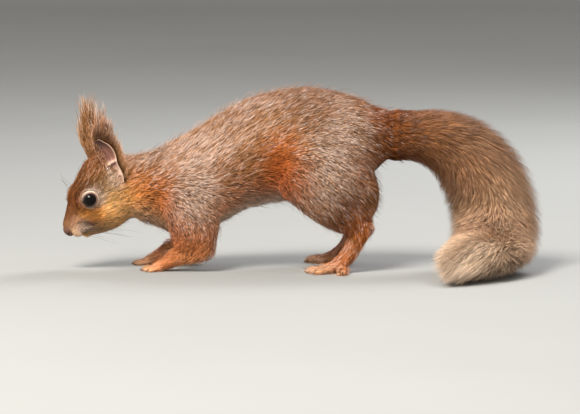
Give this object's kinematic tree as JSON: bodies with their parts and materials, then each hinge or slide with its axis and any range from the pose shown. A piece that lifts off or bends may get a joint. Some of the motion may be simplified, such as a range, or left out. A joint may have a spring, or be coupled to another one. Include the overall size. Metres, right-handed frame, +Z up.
{
  "type": "red squirrel",
  "caption": "Life-size red squirrel standing on all fours, head low, tufted ears up, bushy tail arched over and laid along the floor.",
  "frame": {"origin": "centre of the bounding box seen from above, on the floor that the feet and the tail rest on", "axes": "+X runs along the body from the nose towards the rump and tail, +Y to the animal's right, +Z up"},
  "size_m": [0.2772, 0.1461, 0.1065],
  "materials": {
    "coat": "chestnut fur, greyer on the back, orange on the legs and cheeks",
    "foot_coat": "short orange fur",
    "tail_coat": "long loose fur, paler at the tip",
    "eye": "wet black",
    "claw": "dark horn"
  },
  "bodies": {
    "root": {"head": "coat", "neck": "coat", "trunk": "coat", "ear_left": "coat", "ear_right": "coat", "eye_left": "eye", "eye_right": "eye", "upper_arm_left": "coat", "upper_arm_right": "coat", "forearm_left": "coat", "forearm_right": "coat", "fore_foot_left": "foot_coat", "fore_foot_right": "foot_coat", "thigh_left": "coat", "thigh_right": "coat", "shank_left": "coat", "shank_right": "coat", "hind_foot_left": "foot_coat", "hind_foot_right": "foot_coat", "tail_root": "tail_coat", "tail_arch": "tail_coat", "tail_fall": "tail_coat", "tail_turn": "tail_coat", "tail_rest": "tail_coat", "tail_tip": "tail_coat"}
  },
  "joints": []
}
